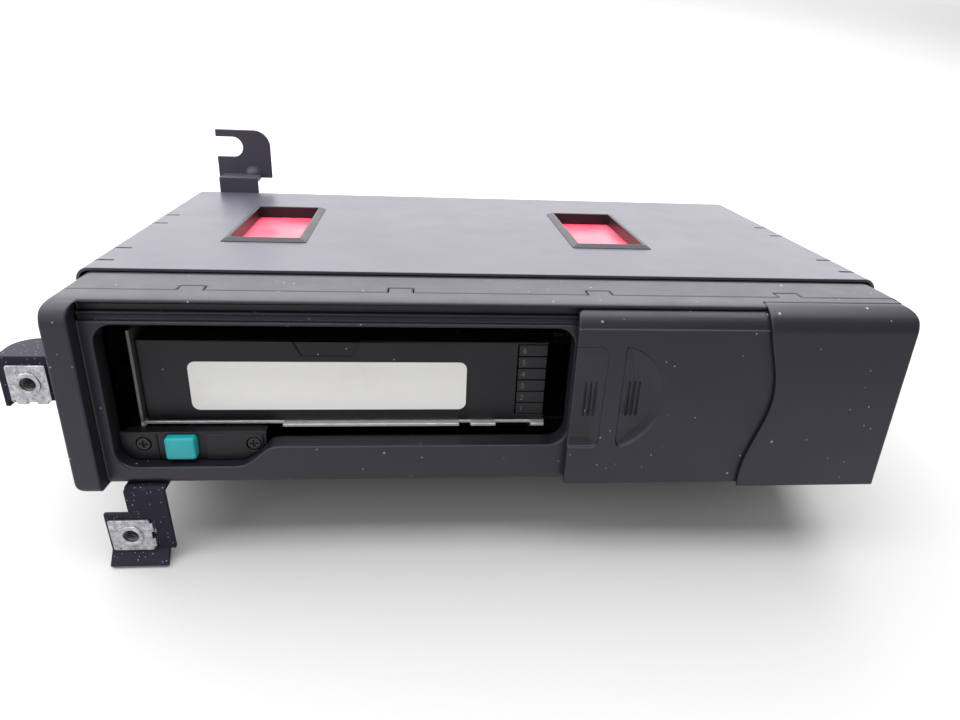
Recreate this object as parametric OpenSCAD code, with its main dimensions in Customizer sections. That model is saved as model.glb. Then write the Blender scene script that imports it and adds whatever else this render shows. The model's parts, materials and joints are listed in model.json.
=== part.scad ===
// Six-disc changer for a car boot, with a removable magazine and a sliding front door.
// Lengths are in millimetres. X runs to the right, Y to the back and Z up.
// Pieces are drawn from the front face of the bezel and then moved so that the origin is the
// middle of the steel pan's underside.

/* [Housing] */
// Width across the plastic front
body_w = 260; // [256:1:280]
// Height of the plastic front
body_h = 62.5; // [62:0.5:70]
// Depth of the steel box behind the plastic front
box_d = 129.5; // [128:0.5:150]
// How far the steel box stands out past the plastic front at each side
box_out = 2; // [1:0.1:3]
// Thickness of the sheet steel
sheet = 1; // [0.8:0.1:1.2]
// Wall of the moulded plastic pieces
wall = 2.2; // [1.8:0.1:2.6]
// Gap between pieces that fit together
fit = 0.3; // [0.2:0.05:0.35]
// Length of the slits at the side edges of the cover
slit_l = 8.5; // [5:0.5:11]
// Width of the slits at the side edges of the cover
slit_w = 1.2; // [0.6:0.1:2]
// Radius of the self-tapping screws
screw_r = 1.5; // [1.2:0.1:1.8]
// Radius of the screw heads
head_r = 2.8; // [2.4:0.1:3.2]

/* [Front] */
// Depth of the bezel
bezel_d = 12.5; // [12:0.5:14]
// Depth of the frame behind the bezel
frame_d = 17.5; // [16:0.5:20]
// Radius of the curve from the front to the top
nose_r = 7.5; // [7:0.1:8]
// Radius along the bottom edge of the rim
foot_r = 2.5; // [1:0.5:4]
// Radius of the corners seen from the front
corner_r = 4; // [2:0.5:6]
// Width of the rim at the left end of the bezel
rim_w = 7.5; // [6:0.5:8]
// Width of the latch tongues along the top
latch_w = 7.3; // [5:0.1:10]
// Length of the latch tongues along the top
latch_l = 4; // [3:0.5:6]

/* [Door] */
// Width of the fixed panel at the right end
fascia_w = 48; // [44:1:49]
// Thickness of the fixed panel
fascia_t = 1.1; // [0.9:0.1:1.2]
// How far the seam of the fixed panel swings to the right
seam_bulge = 6; // [0:0.5:7]
// Height of the middle of the seam's swing
seam_z = 33; // [31:0.5:36]
// Half the height of the seam's swing
seam_half = 29; // [20:0.5:30]
// Thickness of the outer door leaf
door_t = 2; // [1.8:0.1:2.2]
// Thickness of the inner door leaf
leaf_t = 1.3; // [1:0.1:1.5]
// Height of the door's lower edge
door_z0 = 0.8; // [0.4:0.1:2]
// How far the two leaves overlap when they are closed
leaf_lap = 1; // [0.8:0.1:1]
// Radius of the finger dish
dish_r = 18.4; // [14:0.2:20]
// Depth of the finger dish
dish_d = 1; // [0.6:0.1:1.1]
// Height of the middle of the finger dish
dish_z = 32; // [28:0.5:36]

/* [Magazine] */
// Diameter of a disc
disc_d = 120; // [119:0.5:121]
// Height from one tray to the next
tray_pitch = 4.2; // [4:0.1:4.4]
// Thickness of a tray's floor
tray_t = 1; // [0.8:0.1:1.2]
// Height of the lip round a disc
lip_h = 2.4; // [2:0.1:2.6]
// Thickness of the lip round a disc
lip_t = 1.2; // [1:0.1:1.4]
// Width of a tray's edges outside the lip
edge_w = 2; // [1.6:0.1:2.4]
// Width of the slot in a tray for the turntable and the pickup
fork_w = 40; // [36:1:44]
// Width of the numbered pull tabs
tab_w = 9.3; // [7:0.1:12]
// Front wall of the magazine
mag_front = 3; // [2.5:0.1:4]
// Other walls of the magazine
mag_wall = 2; // [1.6:0.1:2.4]
// Roof of the magazine
mag_roof = 0.9; // [0.8:0.1:1.2]
// Distance from the left end of the front to the magazine
mag_in_x = 17.8; // [17:0.2:19]
// Distance from the front of the bezel to the magazine
mag_in_y = 17; // [16:0.5:18]
// Height of the magazine above the underside
mag_in_z = 16.6; // [16:0.1:17]
// Width of the label
label_w = 88; // [60:1:100]
// Height of the label
label_h = 17; // [12:0.5:20]

/* [Mouth] */
// Room in the mouth at the left of the magazine
mouth_left = 6.8; // [6:0.2:7]
// Room in the mouth at the right of the magazine
mouth_right = 5.8; // [4:0.2:7]
// Room in the mouth above the magazine
mouth_up = 9.2; // [6:0.2:9.2]
// Room in the mouth below the magazine
mouth_down = 3.3; // [3:0.1:3.6]
// Drop of the mouth's lower left part
step_h = 7.2; // [6:0.2:8]
// Width of the mouth's lower left part
step_x = 36.5; // [34:0.5:40]
// Width of the slope up from the lower left part
step_w = 13; // [8:0.5:16]
// Corner radius of the mouth
mouth_r = 6; // [4:0.5:7]

/* [Eject] */
// Width of the eject button
button_w = 9.4; // [7:0.2:11]
// Height of the eject button
button_h = 7.8; // [6:0.2:7.8]
// How far the button stands out of its panel
button_out = 2.6; // [2:0.1:3]
// Travel of the eject button
button_travel = 2.5; // [1:0.1:2.5]
// Thickness of the eject panel
plate_t = 1.5; // [1.2:0.1:2]
// Distance from the front of the bezel to the eject panel
plate_in = 10; // [9.5:0.1:10.4]

/* [Windows] */
// Width of a window in the cover
window_w = 25; // [16:0.5:30]
// Depth of a window in the cover
window_d = 54; // [36:0.5:60]
// Height of a window frame above the cover
collar_h = 1.3; // [1:0.1:4]
// Width of a window frame's sloped edge
collar_w = 2.2; // [1.5:0.1:4]
// Middle of the left window from the left edge of the cover
window_x1 = 50.5; // [38:0.5:58]
// Middle of the right window from the right edge of the cover
window_x2 = 84; // [68:0.5:88]
// Middle of the windows from the front of the cover
window_y = 65; // [50:1:80]
// Depth of the red pans below the top of the cover
pan_drop = 3.5; // [3:0.1:5]

/* [Mechanism] */
// Travel of a tray into the play space
tray_travel = 100; // [96:1:101]
// Radius of the lift's guide posts
post_r = 1.5; // [1.2:0.1:1.7]
// Radius of the pickup's guide rods
rod_r = 1; // [0.8:0.1:1.2]
// Running gap round posts and rods
run = 0.08; // [0.05:0.01:0.1]
// Lift of the deck from its park to the top tray
lift = 29.5; // [28:0.1:30]
// Slide travel for each millimetre of lift
lift_ratio = 1.4; // [1.2:0.05:1.5]
// Radius of the turntable
turn_r = 15; // [13:0.5:16]
// Travel of the pickup
sled_travel = 34; // [30:0.5:34]
// Teeth of the lift pinion
pinion_n = 12; // [10:1:14]
// Module of the lift pinion's teeth
pinion_m = 0.8; // [0.7:0.05:0.85]

/* [Brackets] */
// Thickness of the bracket steel
strap_t = 1.5; // [1.2:0.1:1.8]
// Width of the front leg's strap
leg_w = 12.6; // [11:0.2:16]
// How far the front leg's nut plate stands out to the left of the strap
leg_ext = 7.8; // [6:0.1:9]
// How far the front leg reaches below the underside
leg_drop = 28; // [24:0.5:36]
// Reach of the left bracket from the side of the front
arm_reach = 30; // [26:0.5:36]
// Height of the left bracket's top
arm_z = 35; // [32:0.5:42]
// Depth of the left bracket's top flange
arm_d = 16; // [12:0.5:20]
// Width of a clip nut
nut_w = 12.5; // [11:0.5:15]
// Height of a clip nut
nut_h = 13; // [12:0.5:16]
// Radius of the hole in a clip nut
thread_r = 2.5; // [2:0.1:3]
// Width of the rear hook's upright
hook_tab_w = 18; // [14:0.5:22]
// Width of the rear hook
hook_w = 25.3; // [22:0.1:30]
// Height of the rear hook's top above the underside
hook_z = 91.3; // [88:0.1:100]
// How far the rear hook stands behind the rear wall
hook_out = 10; // [8:0.5:14]
// Half the width of the rear hook's slot
slot_r = 4.6; // [4:0.1:5]

/* [Hidden] */
$fn = 64;

// Colours
charcoal = [0.2, 0.2, 0.22];
black = [0.07, 0.07, 0.08];
dark_steel = [0.27, 0.27, 0.31];
zinc = [0.75, 0.76, 0.78];
teal = [0.2, 0.72, 0.69];
red = [0.85, 0.12, 0.16];
paper = [0.9, 0.9, 0.87];
board_green = [0.1, 0.35, 0.18];
brass = [0.75, 0.6, 0.3];

// Main planes
eps = 0.01;
over = 1;
x_left = -body_w / 2;
x_end = body_w / 2 - sheet;
front_d = bezel_d + frame_d;
cov_x = body_w / 2 + box_out;
pan_x = cov_x - sheet - fit;
left_x = window_x1 - cov_x;
right_x = cov_x - window_x2;
fold_r = 4;
spigot_d = 6;
groove_w = 1.8;
groove_d = 1.4;
pan_side_y = front_d + spigot_d + fit;

// Front curve and door track
arc_y = nose_r;
arc_z = body_h - nose_r;
door_r = nose_r - fascia_t - fit;
door_in_r = door_r - door_t;
door_y = arc_y - door_r;
leaf_y = door_y + door_t + fit;
floor_y = leaf_y + leaf_t + fit;
tongue_z = arc_z + 0.4;
tongue_h = 1.2;
tongue_d = 1.4;
tongue_set = 0.6;
ridge_h = 1;
ridge_y = floor_y + 0.9;
brow_y = 4.5;
brow_r = 4.5;

// Magazine and trays
trays = 6;
play = 0.4;
tray_fit = 0.15;
rib_t = 0.8;
rib_w = 1.6;
tray_half_y = disc_d / 2 + play + lip_t + edge_w;
tray_left = disc_d / 2 + play + lip_t + edge_w / 2;
tray_right = tray_left + lip_t;
mag_d = mag_front + 2 * (tray_half_y + play) + mag_wall;
mag_w = mag_wall + play + tray_left + tray_right + fit;
mag_h = mag_wall + trays * tray_pitch + mag_roof;
mag_x0 = x_left + mag_in_x;
mag_x1 = mag_x0 + mag_w;
mag_y1 = mag_in_y + mag_d;
front_mid = mag_x0 + (mag_w - tab_w) / 2;
mag_z1 = mag_in_z + mag_h;
disc_x = mag_x0 + mag_wall + play + tray_left;
disc_y = mag_in_y + mag_front + play + tray_half_y;
function tray_z(k) = mag_in_z + mag_wall + tray_fit + (k - 1) * tray_pitch;

// Rear wall: at the depth of the box, or behind a magazine that needs more
rear_gap = 7;
back_y = max(front_d + box_d, mag_y1 + rear_gap);
origin_y = (front_d + fit + back_y) / 2;

// Mouth
mouth_x0 = mag_x0 - mouth_left;
mouth_x1 = mag_x1 + mouth_right;
mouth_z0 = mag_in_z - mouth_down;
mouth_z1 = mag_z1 + mouth_up;
step_z = mouth_z0 - step_h;
step_x1 = mouth_x0 + step_x;

// Door travel: the outer leaf closes on the rim and the inner one follows to close the rest
stop_gap = 2.9;
door_x0 = mouth_x1 - fit;
door_x1 = x_end - wall - fit;
door_travel = door_x0 - (x_left + rim_w + stop_gap);
leaf_x0 = door_x0 + fit;
leaf_travel = leaf_x0 - (door_x1 - door_travel - leaf_lap);
fascia_x = x_end - fascia_w;

// Eject panel
button_x = mouth_x0 + 19;
plate_x1 = mouth_x0 + 45.3;
plate_z1 = mag_in_z - 0.4;
pad_h = 0.5;
head_sink = plate_t - 0.5;
eject_head_r = 2.1;
button_z = (step_z + fit + plate_z1) / 2;
eject_screw_x = [mouth_x0 + 7.2, mouth_x0 + 41.4];
eject_screw_z = button_z + 0.7;

// Cradle and latch
cradle_z = mag_in_z - fit - sheet;
cradle_x0 = mag_x0 - fit - sheet;
cradle_x1 = mag_x1 + fit;
cradle_y1 = mag_y1 + fit;
latch_t = 2;
latch_x = button_x + 16;
latch_y = plate_in + 16;
latch_z = button_z - latch_t / 2;
latch_arm = 16;
latch_pin_r = 1.5;
stem_r = 1.6;
stem_y1 = latch_y - latch_t - fit;

// Mechanism
play_x = disc_x + tray_travel;
damper_h = 3;
mech_z = sheet + damper_h;
mech_x0 = cradle_x1 + 5;
post_x = pan_x - 7;
post_y = [disc_y - 32, disc_y + 34];
rear_post = [play_x - 12, back_y - 6.5];
boss_r = post_r + 1.7;
deck_t = 1;
motor_h = 3.8;
deck_z = mech_z + sheet + 0.6 + motor_h;
deck_half_y = 27;
deck_x0 = play_x - turn_r - 4;
deck_x1 = post_x - boss_r - 2;
pin_y = disc_y + 17.5;
pin_z = deck_z + deck_t / 2;
pin_r = 1.2;
seat_z = deck_z + deck_t + 1.5;
lens_in = 24;
sled_l = 13;
sled_h = 4;
sled_x0 = play_x + lens_in - 5;
sled_half_y = 11;
rod_y = sled_half_y + 3.5;
rod_z = deck_z + deck_t + rod_r + fit;
screw_y = rod_y + 5;
lead_r = 1.2;
feed_r = 3;
screw_z = deck_z + deck_t + feed_r;
sled_z = deck_z + deck_t + fit;
feed_l = 16;
feed_x0 = deck_x0 + 2;
clamp_z = mag_z1 + 4.2;
clamp_t = 1.2;
clamper_h = 1.8;
slide_x = pan_x - sheet - fit - sheet;
slide_travel = lift * lift_ratio;
slide_pad = 6;
slide_top = pin_z + lift + 5;
pinion_r = pinion_m * pinion_n / 2;
backlash = 0.25;
pinion_z = slide_top + pinion_r + pinion_m;
pinion_w = 4;
lift_motor_r = 5;
shaft_r = 1;
clamp_drop = clamp_z - fit - clamper_h - (tray_z(1) + tray_t + 1.5);

// Brackets
leg_x0 = x_left + 12.3;
leg_tilt = -5;
leg_y = 3;
foot_l = 18;
pocket_h = strap_t + 0.1;
pocket_in = 3;
arm_y = 26;
arm_l = 42;
nut_t = 0.8;
barrel_r = thread_r + 1.2;
barrel_l = 4;
arm_flange_x = -cov_x - strap_t;
nut_x = x_left - arm_reach + strap_t + 1.25 + nut_w / 2;
nut_z = arm_z - strap_t - 1.5 - nut_h / 2;
hook_x0 = x_left + 9.6;
hook_y = back_y + hook_out;
hook_flange_z = body_h + 6.5;
hook_foot_z = body_h - 26.5;
arm_screws = [[arm_y + 20, arm_z - 10], [arm_y + 36, arm_z - 10]];
hook_screws = [[hook_x0 + hook_tab_w / 2, hook_foot_z + 6], [hook_x0 + hook_tab_w / 2, hook_foot_z + 20]];
leg_screws = [front_d + 7, front_d + 15];
cover_screw_y = [front_d + 34, front_d + 96];
cover_screw_z = 14;
socket_x = pan_x - 32.9;
socket_z = 30;
socket_w = 26;
socket_h = 15;
socket_d = 8;
board_x0 = cradle_x0 + sheet + 3;
board_x1 = cradle_x1 - 6;
board_y0 = front_d + 32;
board_y1 = back_y - 6;
board_z = 6;
board_t = 1.6;
standoff_r = 2.5;
can_pitch = 14;
can_r = 3;
can_h = 5;

// Extrusions along one axis, between two places on it
module along_y(y0, y1) {
    translate([0, y1, 0]) rotate([90, 0, 0]) linear_extrude(y1 - y0) children();
}
module along_x(x0, x1) {
    translate([x0, 0, 0]) rotate([90, 0, 90]) linear_extrude(x1 - x0) children();
}
module along_z(z0, z1) {
    translate([0, 0, z0]) linear_extrude(z1 - z0) children();
}
module box(from, to) {
    translate(from) cube(to - from);
}
module rod_x(x0, x1, y, z, r) {
    translate([x0, y, z]) rotate([0, 90, 0]) cylinder(r = r, h = x1 - x0);
}
module rod_y(x, y0, y1, z, r) {
    translate([x, y1, z]) rotate([90, 0, 0]) cylinder(r = r, h = y1 - y0);
}
module rod_z(x, y, z0, z1, r) {
    translate([x, y, z0]) cylinder(r = r, h = z1 - z0);
}

// Rectangle with round corners
module round_rect(x0, y0, x1, y1, r) {
    translate([x0 + r, y0]) square([x1 - x0 - 2 * r, y1 - y0]);
    translate([x0, y0 + r]) square([x1 - x0, y1 - y0 - 2 * r]);
    for (x = [x0 + r, x1 - r], y = [y0 + r, y1 - r]) translate([x, y]) circle(r);
}

// Section of the front, from a curve of radius r back to a plane
module nose(r, back, low) {
    translate([arc_y - r, low]) square([back - arc_y + r, arc_z - low]);
    translate([arc_y, low]) square([max(back - arc_y, eps), arc_z + r - low]);
    intersection() {
        translate([arc_y, arc_z]) circle(r);
        translate([arc_y - r, arc_z]) square(r);
    }
}

// Outline of the magazine mouth, grown by g
module mouth(g) {
    round_rect(mouth_x0 - g, mouth_z0 - g, mouth_x1 + g, mouth_z1 + g, mouth_r + g);
    round_rect(mouth_x0 - g, step_z - g, step_x1, mouth_z0 + 2 * mouth_r, mouth_r);
    polygon(concat(
        [[mouth_x0 + 2 * mouth_r, mouth_z0 + mouth_r], [mouth_x0 + 2 * mouth_r, step_z - g]],
        [for (t = [0:0.1:1]) [step_x1 + t * step_w, step_z - g + step_h * (1 - cos(180 * t)) / 2]],
        [[step_x1 + step_w, mouth_z0 + mouth_r]]));
}

// Section of the bezel where the door runs
module track() {
    difference() {
        union() {
            translate([floor_y, 0]) square([bezel_d - floor_y, tongue_z - fit]);
            translate([floor_y + tongue_d + fit, 0])
                square([bezel_d - floor_y - tongue_d - fit, body_h - eps]);
            translate([ridge_y, tongue_z + tongue_h + fit]) square([bezel_d - ridge_y, ridge_h]);
        }
        translate([floor_y, tongue_z + tongue_h + fit + ridge_h])
            square([arc_y + fit - floor_y, body_h]);
        translate([floor_y, 0]) corner_cut(foot_r);
        translate([floor_y + wall, wall]) square([bezel_d, tongue_z - 2 * wall - fit]);
    }
}

// Section of the brow over the door, from y back to the top strip
module brow(y) {
    intersection() {
        difference() {
            nose(nose_r, arc_y + fit + over, 0);
            nose(door_r + fit, arc_y + fit + 2 * over, -over);
        }
        translate([y, arc_z]) square([arc_y + fit + eps - y, 2 * nose_r]);
    }
}

// What fills a corner at the origin up to a round of radius r
module corner_fill(r) {
    difference() {
        translate([-eps, -eps]) square(r + eps);
        translate([r, r]) circle(r);
    }
}

// What a round edge takes off the corner at the origin
module corner_cut(r) {
    difference() {
        translate([-over, -over]) square(r + over);
        translate([r, r]) circle(r);
    }
}

module front_bezel() color(charcoal) {
    rim_x = x_left + rim_w;
    difference() {
        union() {
            intersection() {
                along_x(x_left, rim_x) difference() {
                    nose(nose_r, bezel_d, 0);
                    corner_cut(foot_r);
                }
                along_y(0, bezel_d) round_rect(x_left, 0, x_end, body_h, corner_r);
            }
            along_x(rim_x, x_end - wall - fit) track();
            along_y(floor_y + tongue_d + fit, bezel_d) intersection() {
                mouth(wall);
                translate([rim_x, wall]) square([body_w, tongue_z - wall]);
            }
            box([x_end - 2 * wall - fit, floor_y, foot_r], [x_end - wall - fit, bezel_d, arc_z]);
            along_x(rim_x - over, fascia_x - run) brow(brow_y);
            intersection() {
                along_x(rim_x - over, rim_x + brow_r) brow(0);
                along_y(0, bezel_d) translate([rim_x, arc_z + nose_r]) rotate(-90) corner_fill(brow_r);
            }
            along_y(arc_y + fit, bezel_d) intersection() {
                round_rect(x_left, 0, x_end, body_h, corner_r);
                translate([x_end - wall - fit - over, body_h - corner_r]) square(2 * corner_r);
            }
        }
        along_y(-over, bezel_d + over) mouth(0);
    }
    for (x = latch_x4)
        box([x - latch_w / 2, bezel_d, body_h - wall], [x + latch_w / 2, bezel_d + latch_l, body_h]);
}
latch_x4 = [for (i = [-1.5:1:1.5]) i * (body_w / 4 - 3.5)];

module front_frame() color(charcoal) {
    difference() {
        union() {
            along_y(bezel_d, front_d) round_rect(x_left, 0, body_w / 2, body_h, corner_r);
            along_y(front_d, front_d + spigot_d)
                round_rect(-pan_x, sheet + fit, pan_x, body_h - fit, corner_r);
        }
        along_y(bezel_d - over, front_d + over)
            round_rect(x_left + wall, wall, body_w / 2 - wall, body_h - wall, corner_r - wall + 1);
        along_y(front_d - wall, front_d + spigot_d + over)
            round_rect(-pan_x + wall, sheet + fit + wall, pan_x - wall, body_h - fit - wall,
                corner_r - wall + 1);
        for (x = latch_x4)
            box([x - latch_w / 2 - fit, bezel_d - over, body_h - wall - fit],
                [x + latch_w / 2 + fit, bezel_d + latch_l + fit, body_h + over]);
        box([x_left - over, front_d - groove_w, body_h - groove_d],
            [body_w / 2 + over, front_d + eps, body_h + over]);
        box([leg_x0 - fit, front_d - 6, -over],
            [leg_x0 + leg_w + fit, front_d + over, pocket_h + sheet + fit]);
        box([leg_x0 - pocket_in - fit, front_d, -over],
            [leg_x0 + leg_w + pocket_in + fit, front_d + spigot_d + over, pocket_h + sheet + fit]);
    }
    for (x = eject_screw_x) difference() {
        union() {
            rod_y(x, plate_in + plate_t, front_d, eject_screw_z, screw_r + 1);
            box([x - 1, bezel_d + fit, wall - eps], [x + 1, front_d, eject_screw_z]);
        }
        rod_y(x, plate_in, plate_in + plate_t + 8, eject_screw_z, screw_r);
    }
}

module end_fascia() color(charcoal) {
    intersection() {
        difference() {
            along_x(fascia_x, x_end) nose(nose_r, arc_y, 0);
            along_x(fascia_x - over, x_end - wall) nose(nose_r - fascia_t, arc_y + over, -over);
        }
        along_y(-over, bezel_d + over) round_rect(0, -corner_r, x_end, body_h, corner_r);
        along_y(-over, bezel_d + over) polygon(concat(
            [[x_end + over, -over], [x_end + over, body_h + over]],
            [for (z = [body_h + over, for (i = [10:-1:-10]) seam_z + i * seam_half / 10, -over])
                [fascia_x + seam_swing(z), z]]));
    }
    box([x_end - wall, arc_y, 0], [x_end, bezel_d, body_h - corner_r - fit]);
}
function seam_swing(z) =
    abs(z - seam_z) >= seam_half ? 0 : seam_bulge * (1 + cos(180 * (z - seam_z) / seam_half)) / 2;

module door_outer() color(charcoal) {
    rib_z = 6;
    grip_w = 0.7;
    corner = 2.5;
    difference() {
        intersection() {
            along_x(door_x0, door_x1) difference() {
                nose(door_r, arc_y, door_z0);
                nose(door_in_r, arc_y + over, door_z0 - over);
            }
            along_y(-over, bezel_d)
                round_rect(door_x0, -2 * corner, door_x1 + 2 * corner, arc_z + door_r, corner);
        }
        finger_dish();
    }
    for (x0 = [door_x0 + 3.5, door_x0 + 17.3], i = [0:2])
        box([x0 + i * 1.6, door_y + fit, dish_z - rib_z],
            [x0 + i * 1.6 + grip_w, door_y + dish_d + eps, dish_z + rib_z]);
}

// Two lobes beside a grip ridge, with a floor that runs out towards the top
module finger_dish() {
    dish_x = door_x0 + 11;
    ridge_x = [door_x0 + 10, door_x0 + 15.5];
    low = dish_z - dish_r + 1;
    lobe_r = 3;
    slope_a = atan(0.8 * dish_d / (2 * dish_r));
    intersection() {
        along_y(door_y - over, door_y + dish_d + over) {
            round_rect(door_x0 - 2 * lobe_r, low, ridge_x[0], low + 2 * dish_r - 2, lobe_r);
            intersection() {
                translate([dish_x, dish_z]) circle(dish_r);
                round_rect(ridge_x[1], low, ridge_x[1] + 2 * dish_r, low + 2 * dish_r, lobe_r);
            }
        }
        translate([door_x0 - over, door_y + dish_d, low - over]) rotate([slope_a, 0, 0])
            translate([0, -3 * over, -over]) cube([3 * dish_r, 3 * over, 3 * dish_r]);
    }
}

module door_inner() color(charcoal) {
    along_x(leaf_x0, door_x1) {
        translate([leaf_y, door_z0]) square([leaf_t, tongue_z + eps - door_z0]);
        translate([leaf_y + tongue_set, tongue_z])
            square([floor_y + tongue_d - leaf_y - tongue_set, tongue_h]);
    }
}

module eject_panel() color(black) {
    difference() {
        union() {
            along_y(plate_in, plate_in + plate_t) intersection() {
                mouth(-fit);
                translate([x_left, 0]) square([plate_x1 - x_left, plate_z1]);
            }
            box([mouth_x0 + 2, plate_in, plate_z1 - 0.8], [plate_x1, bezel_d + 1.5, plate_z1]);
            along_y(plate_in - pad_h, plate_in + eps) intersection() {
                mouth(-fit);
                union() {
                    translate([button_x + button_w / 2 + 2.6, step_z])
                        square([body_w, plate_z1 - 0.8 - step_z]);
                    translate([button_x - button_w / 2 - 3.1, step_z]) square([0.5, plate_z1 - 0.8 - step_z]);
                }
                translate([x_left, 0]) square([plate_x1 - 1 - x_left, plate_z1]);
            }
        }
        along_y(plate_in - over, plate_in + plate_t + over)
            round_rect(button_x - button_w / 2 - fit, button_z - button_h / 2 - fit,
                button_x + button_w / 2 + fit, button_z + button_h / 2 + fit, 1.2);
        for (x = eject_screw_x) {
            rod_y(x, plate_in - over, bezel_d, eject_screw_z, screw_r + fit);
            rod_y(x, plate_in - over, plate_in + head_sink, eject_screw_z, eject_head_r + fit);
        }
    }
}

module eject_screws() color(black) {
    for (x = eject_screw_x) difference() {
        union() {
            rod_y(x, plate_in + head_sink - 1.2, plate_in + head_sink, eject_screw_z, eject_head_r);
            rod_y(x, plate_in + head_sink - eps, plate_in + 8, eject_screw_z, screw_r - 0.1);
        }
        for (a = [0, 90]) translate([x, plate_in + head_sink - 1.2, eject_screw_z]) rotate([0, a, 0])
            cube([2.6, 1.6, 0.6], center = true);
    }
}

module eject_button() color(teal) {
    along_y(plate_in - button_out, plate_in + plate_t + fit) round_rect(button_x - button_w / 2,
        button_z - button_h / 2, button_x + button_w / 2, button_z + button_h / 2, 1);
    along_y(plate_in + plate_t + fit, plate_in + plate_t + 1.2) round_rect(button_x - button_w / 2 - 0.8,
        button_z - button_h / 2, button_x + button_w / 2 + 0.8, button_z + button_h / 2, 1);
    rod_y(button_x, plate_in + plate_t + 1, stem_y1, button_z, stem_r);
}

// Bell crank under the cradle: one arm before the button's stem, the other holds the magazine
module magazine_latch() color(zinc) {
    difference() {
        along_z(latch_z, latch_z + latch_t) {
            translate([latch_x, latch_y]) circle(latch_pin_r + 2);
            translate([latch_x - latch_arm - 2, latch_y - latch_t]) square([latch_arm + 2, 2 * latch_t]);
            translate([latch_x - latch_t, latch_y]) square([2 * latch_t, latch_arm]);
            translate([latch_x, latch_y + latch_arm]) circle(latch_t);
        }
        rod_z(latch_x, latch_y, latch_z - over, latch_z + latch_t + over, latch_pin_r + run);
    }
    rod_z(latch_x, latch_y + latch_arm, latch_z + latch_t - eps, mag_in_z - fit, latch_pin_r);
}

module magazine_cradle() color(zinc) {
    lips = [[43, mag_w - 28.6], [mag_w - 24.8, mag_w - 16.4], [mag_w - 4.5, mag_w - 0.1]];
    lip_y = bezel_d + 2.2;
    difference() {
        union() {
            box([cradle_x0, mag_in_y, cradle_z], [cradle_x1, cradle_y1 + sheet, cradle_z + sheet]);
            for (t = lips)
                box([mag_x0 + t[0], lip_y, cradle_z], [mag_x0 + t[1], mag_in_y + over, cradle_z + sheet]);
            box([cradle_x0, lip_y, cradle_z], [cradle_x0 + sheet, cradle_y1 + sheet, mag_z1 + 4]);
            box([cradle_x0, cradle_y1, cradle_z], [mag_x1 - 40, cradle_y1 + sheet, mag_z1 - 6]);
            box([cradle_x0, front_d + foot_l + 6, sheet],
                [cradle_x0 + sheet, cradle_y1 + sheet, cradle_z + sheet]);
            box([cradle_x1 - sheet, front_d + 10, sheet], [cradle_x1, cradle_y1 + sheet, cradle_z + sheet]);
            rod_z(latch_x, latch_y, latch_z - fit - sheet, cradle_z + eps, latch_pin_r);
            rod_z(latch_x, latch_y, latch_z - fit - sheet, latch_z - fit, latch_pin_r + over);
        }
        box([latch_x - latch_t, latch_y + latch_arm - 3, cradle_z - over],
            [latch_x + latch_t + 4, latch_y + latch_arm + 3, mag_in_z]);
    }
}

module magazine_shell() color(black) {
    in_y0 = mag_in_y + mag_front;
    in_y1 = mag_y1 - mag_wall;
    push_w = 21;
    push_h = 5;
    difference() {
        box([mag_x0, mag_in_y, mag_in_z], [mag_x1, mag_y1, mag_z1]);
        difference() {
            box([mag_x0 + mag_wall, in_y0, mag_in_z + mag_wall], [mag_x1 + over, in_y1, mag_z1 - mag_roof]);
            for (k = [2:trays], y = [in_y0 - over, in_y1 - rib_w])
                box([mag_x0, y, tray_z(k) - tray_fit - rib_t],
                    [mag_x1, y + rib_w + over, tray_z(k) - tray_fit]);
        }
        box([mag_x1 - tab_w - 2 * fit, mag_in_y - over, mag_in_z + mag_wall],
            [mag_x1 + over, in_y0 + over, mag_z1 - mag_roof]);
        along_y(mag_in_y - over, mag_in_y + 0.4) polygon([
            for (p = [[-0.5, 0], [0.5, 0], [0.38, -1], [-0.38, -1]])
                [front_mid - 1.9 + p[0] * push_w, mag_z1 - fit + p[1] * push_h]]);
        translate([mag_x0 + mag_w / 2, disc_y, mag_z1 - 0.4]) cylinder(r = 30, h = over);
    }
}

module magazine_label() color(paper) {
    label_x = front_mid - 1.3;
    label_z = mag_in_z + 12.4;
    label_t = 0.15;
    along_y(mag_in_y - label_t, mag_in_y) round_rect(label_x - label_w / 2, label_z - label_h / 2,
        label_x + label_w / 2, label_z + label_h / 2, 2.5);
}

// One tray: a fork-shaped floor, a lip round the disc and a pull tab at the front right
module tray(k) color(charcoal) {
    z0 = tray_z(k);
    fork_r = fork_w / 2;
    difference() {
        union() {
            box([disc_x - tray_left, disc_y - tray_half_y, z0],
                [disc_x + tray_right, disc_y + tray_half_y, z0 + tray_t]);
            rod_z(disc_x, disc_y, z0, z0 + lip_h, disc_d / 2 + play + lip_t);
        }
        rod_z(disc_x, disc_y, z0 + tray_t, z0 + lip_h + over, disc_d / 2 + play);
        rod_z(disc_x, disc_y, z0 - over, z0 + lip_h + over, fork_r);
        box([disc_x, disc_y - fork_r, z0 - over], [disc_x + disc_d, disc_y + fork_r, z0 + lip_h + over]);
    }
    box([disc_x + tray_right - tab_w, mag_in_y + tray_fit, z0],
        [disc_x + tray_right, disc_y - tray_half_y + over, z0 + tray_t]);
    box([disc_x + tray_right - tab_w, mag_in_y + tray_fit, z0],
        [disc_x + tray_right, mag_in_y + mag_front - fit, z0 + tray_pitch - 0.35]);
}

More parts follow.
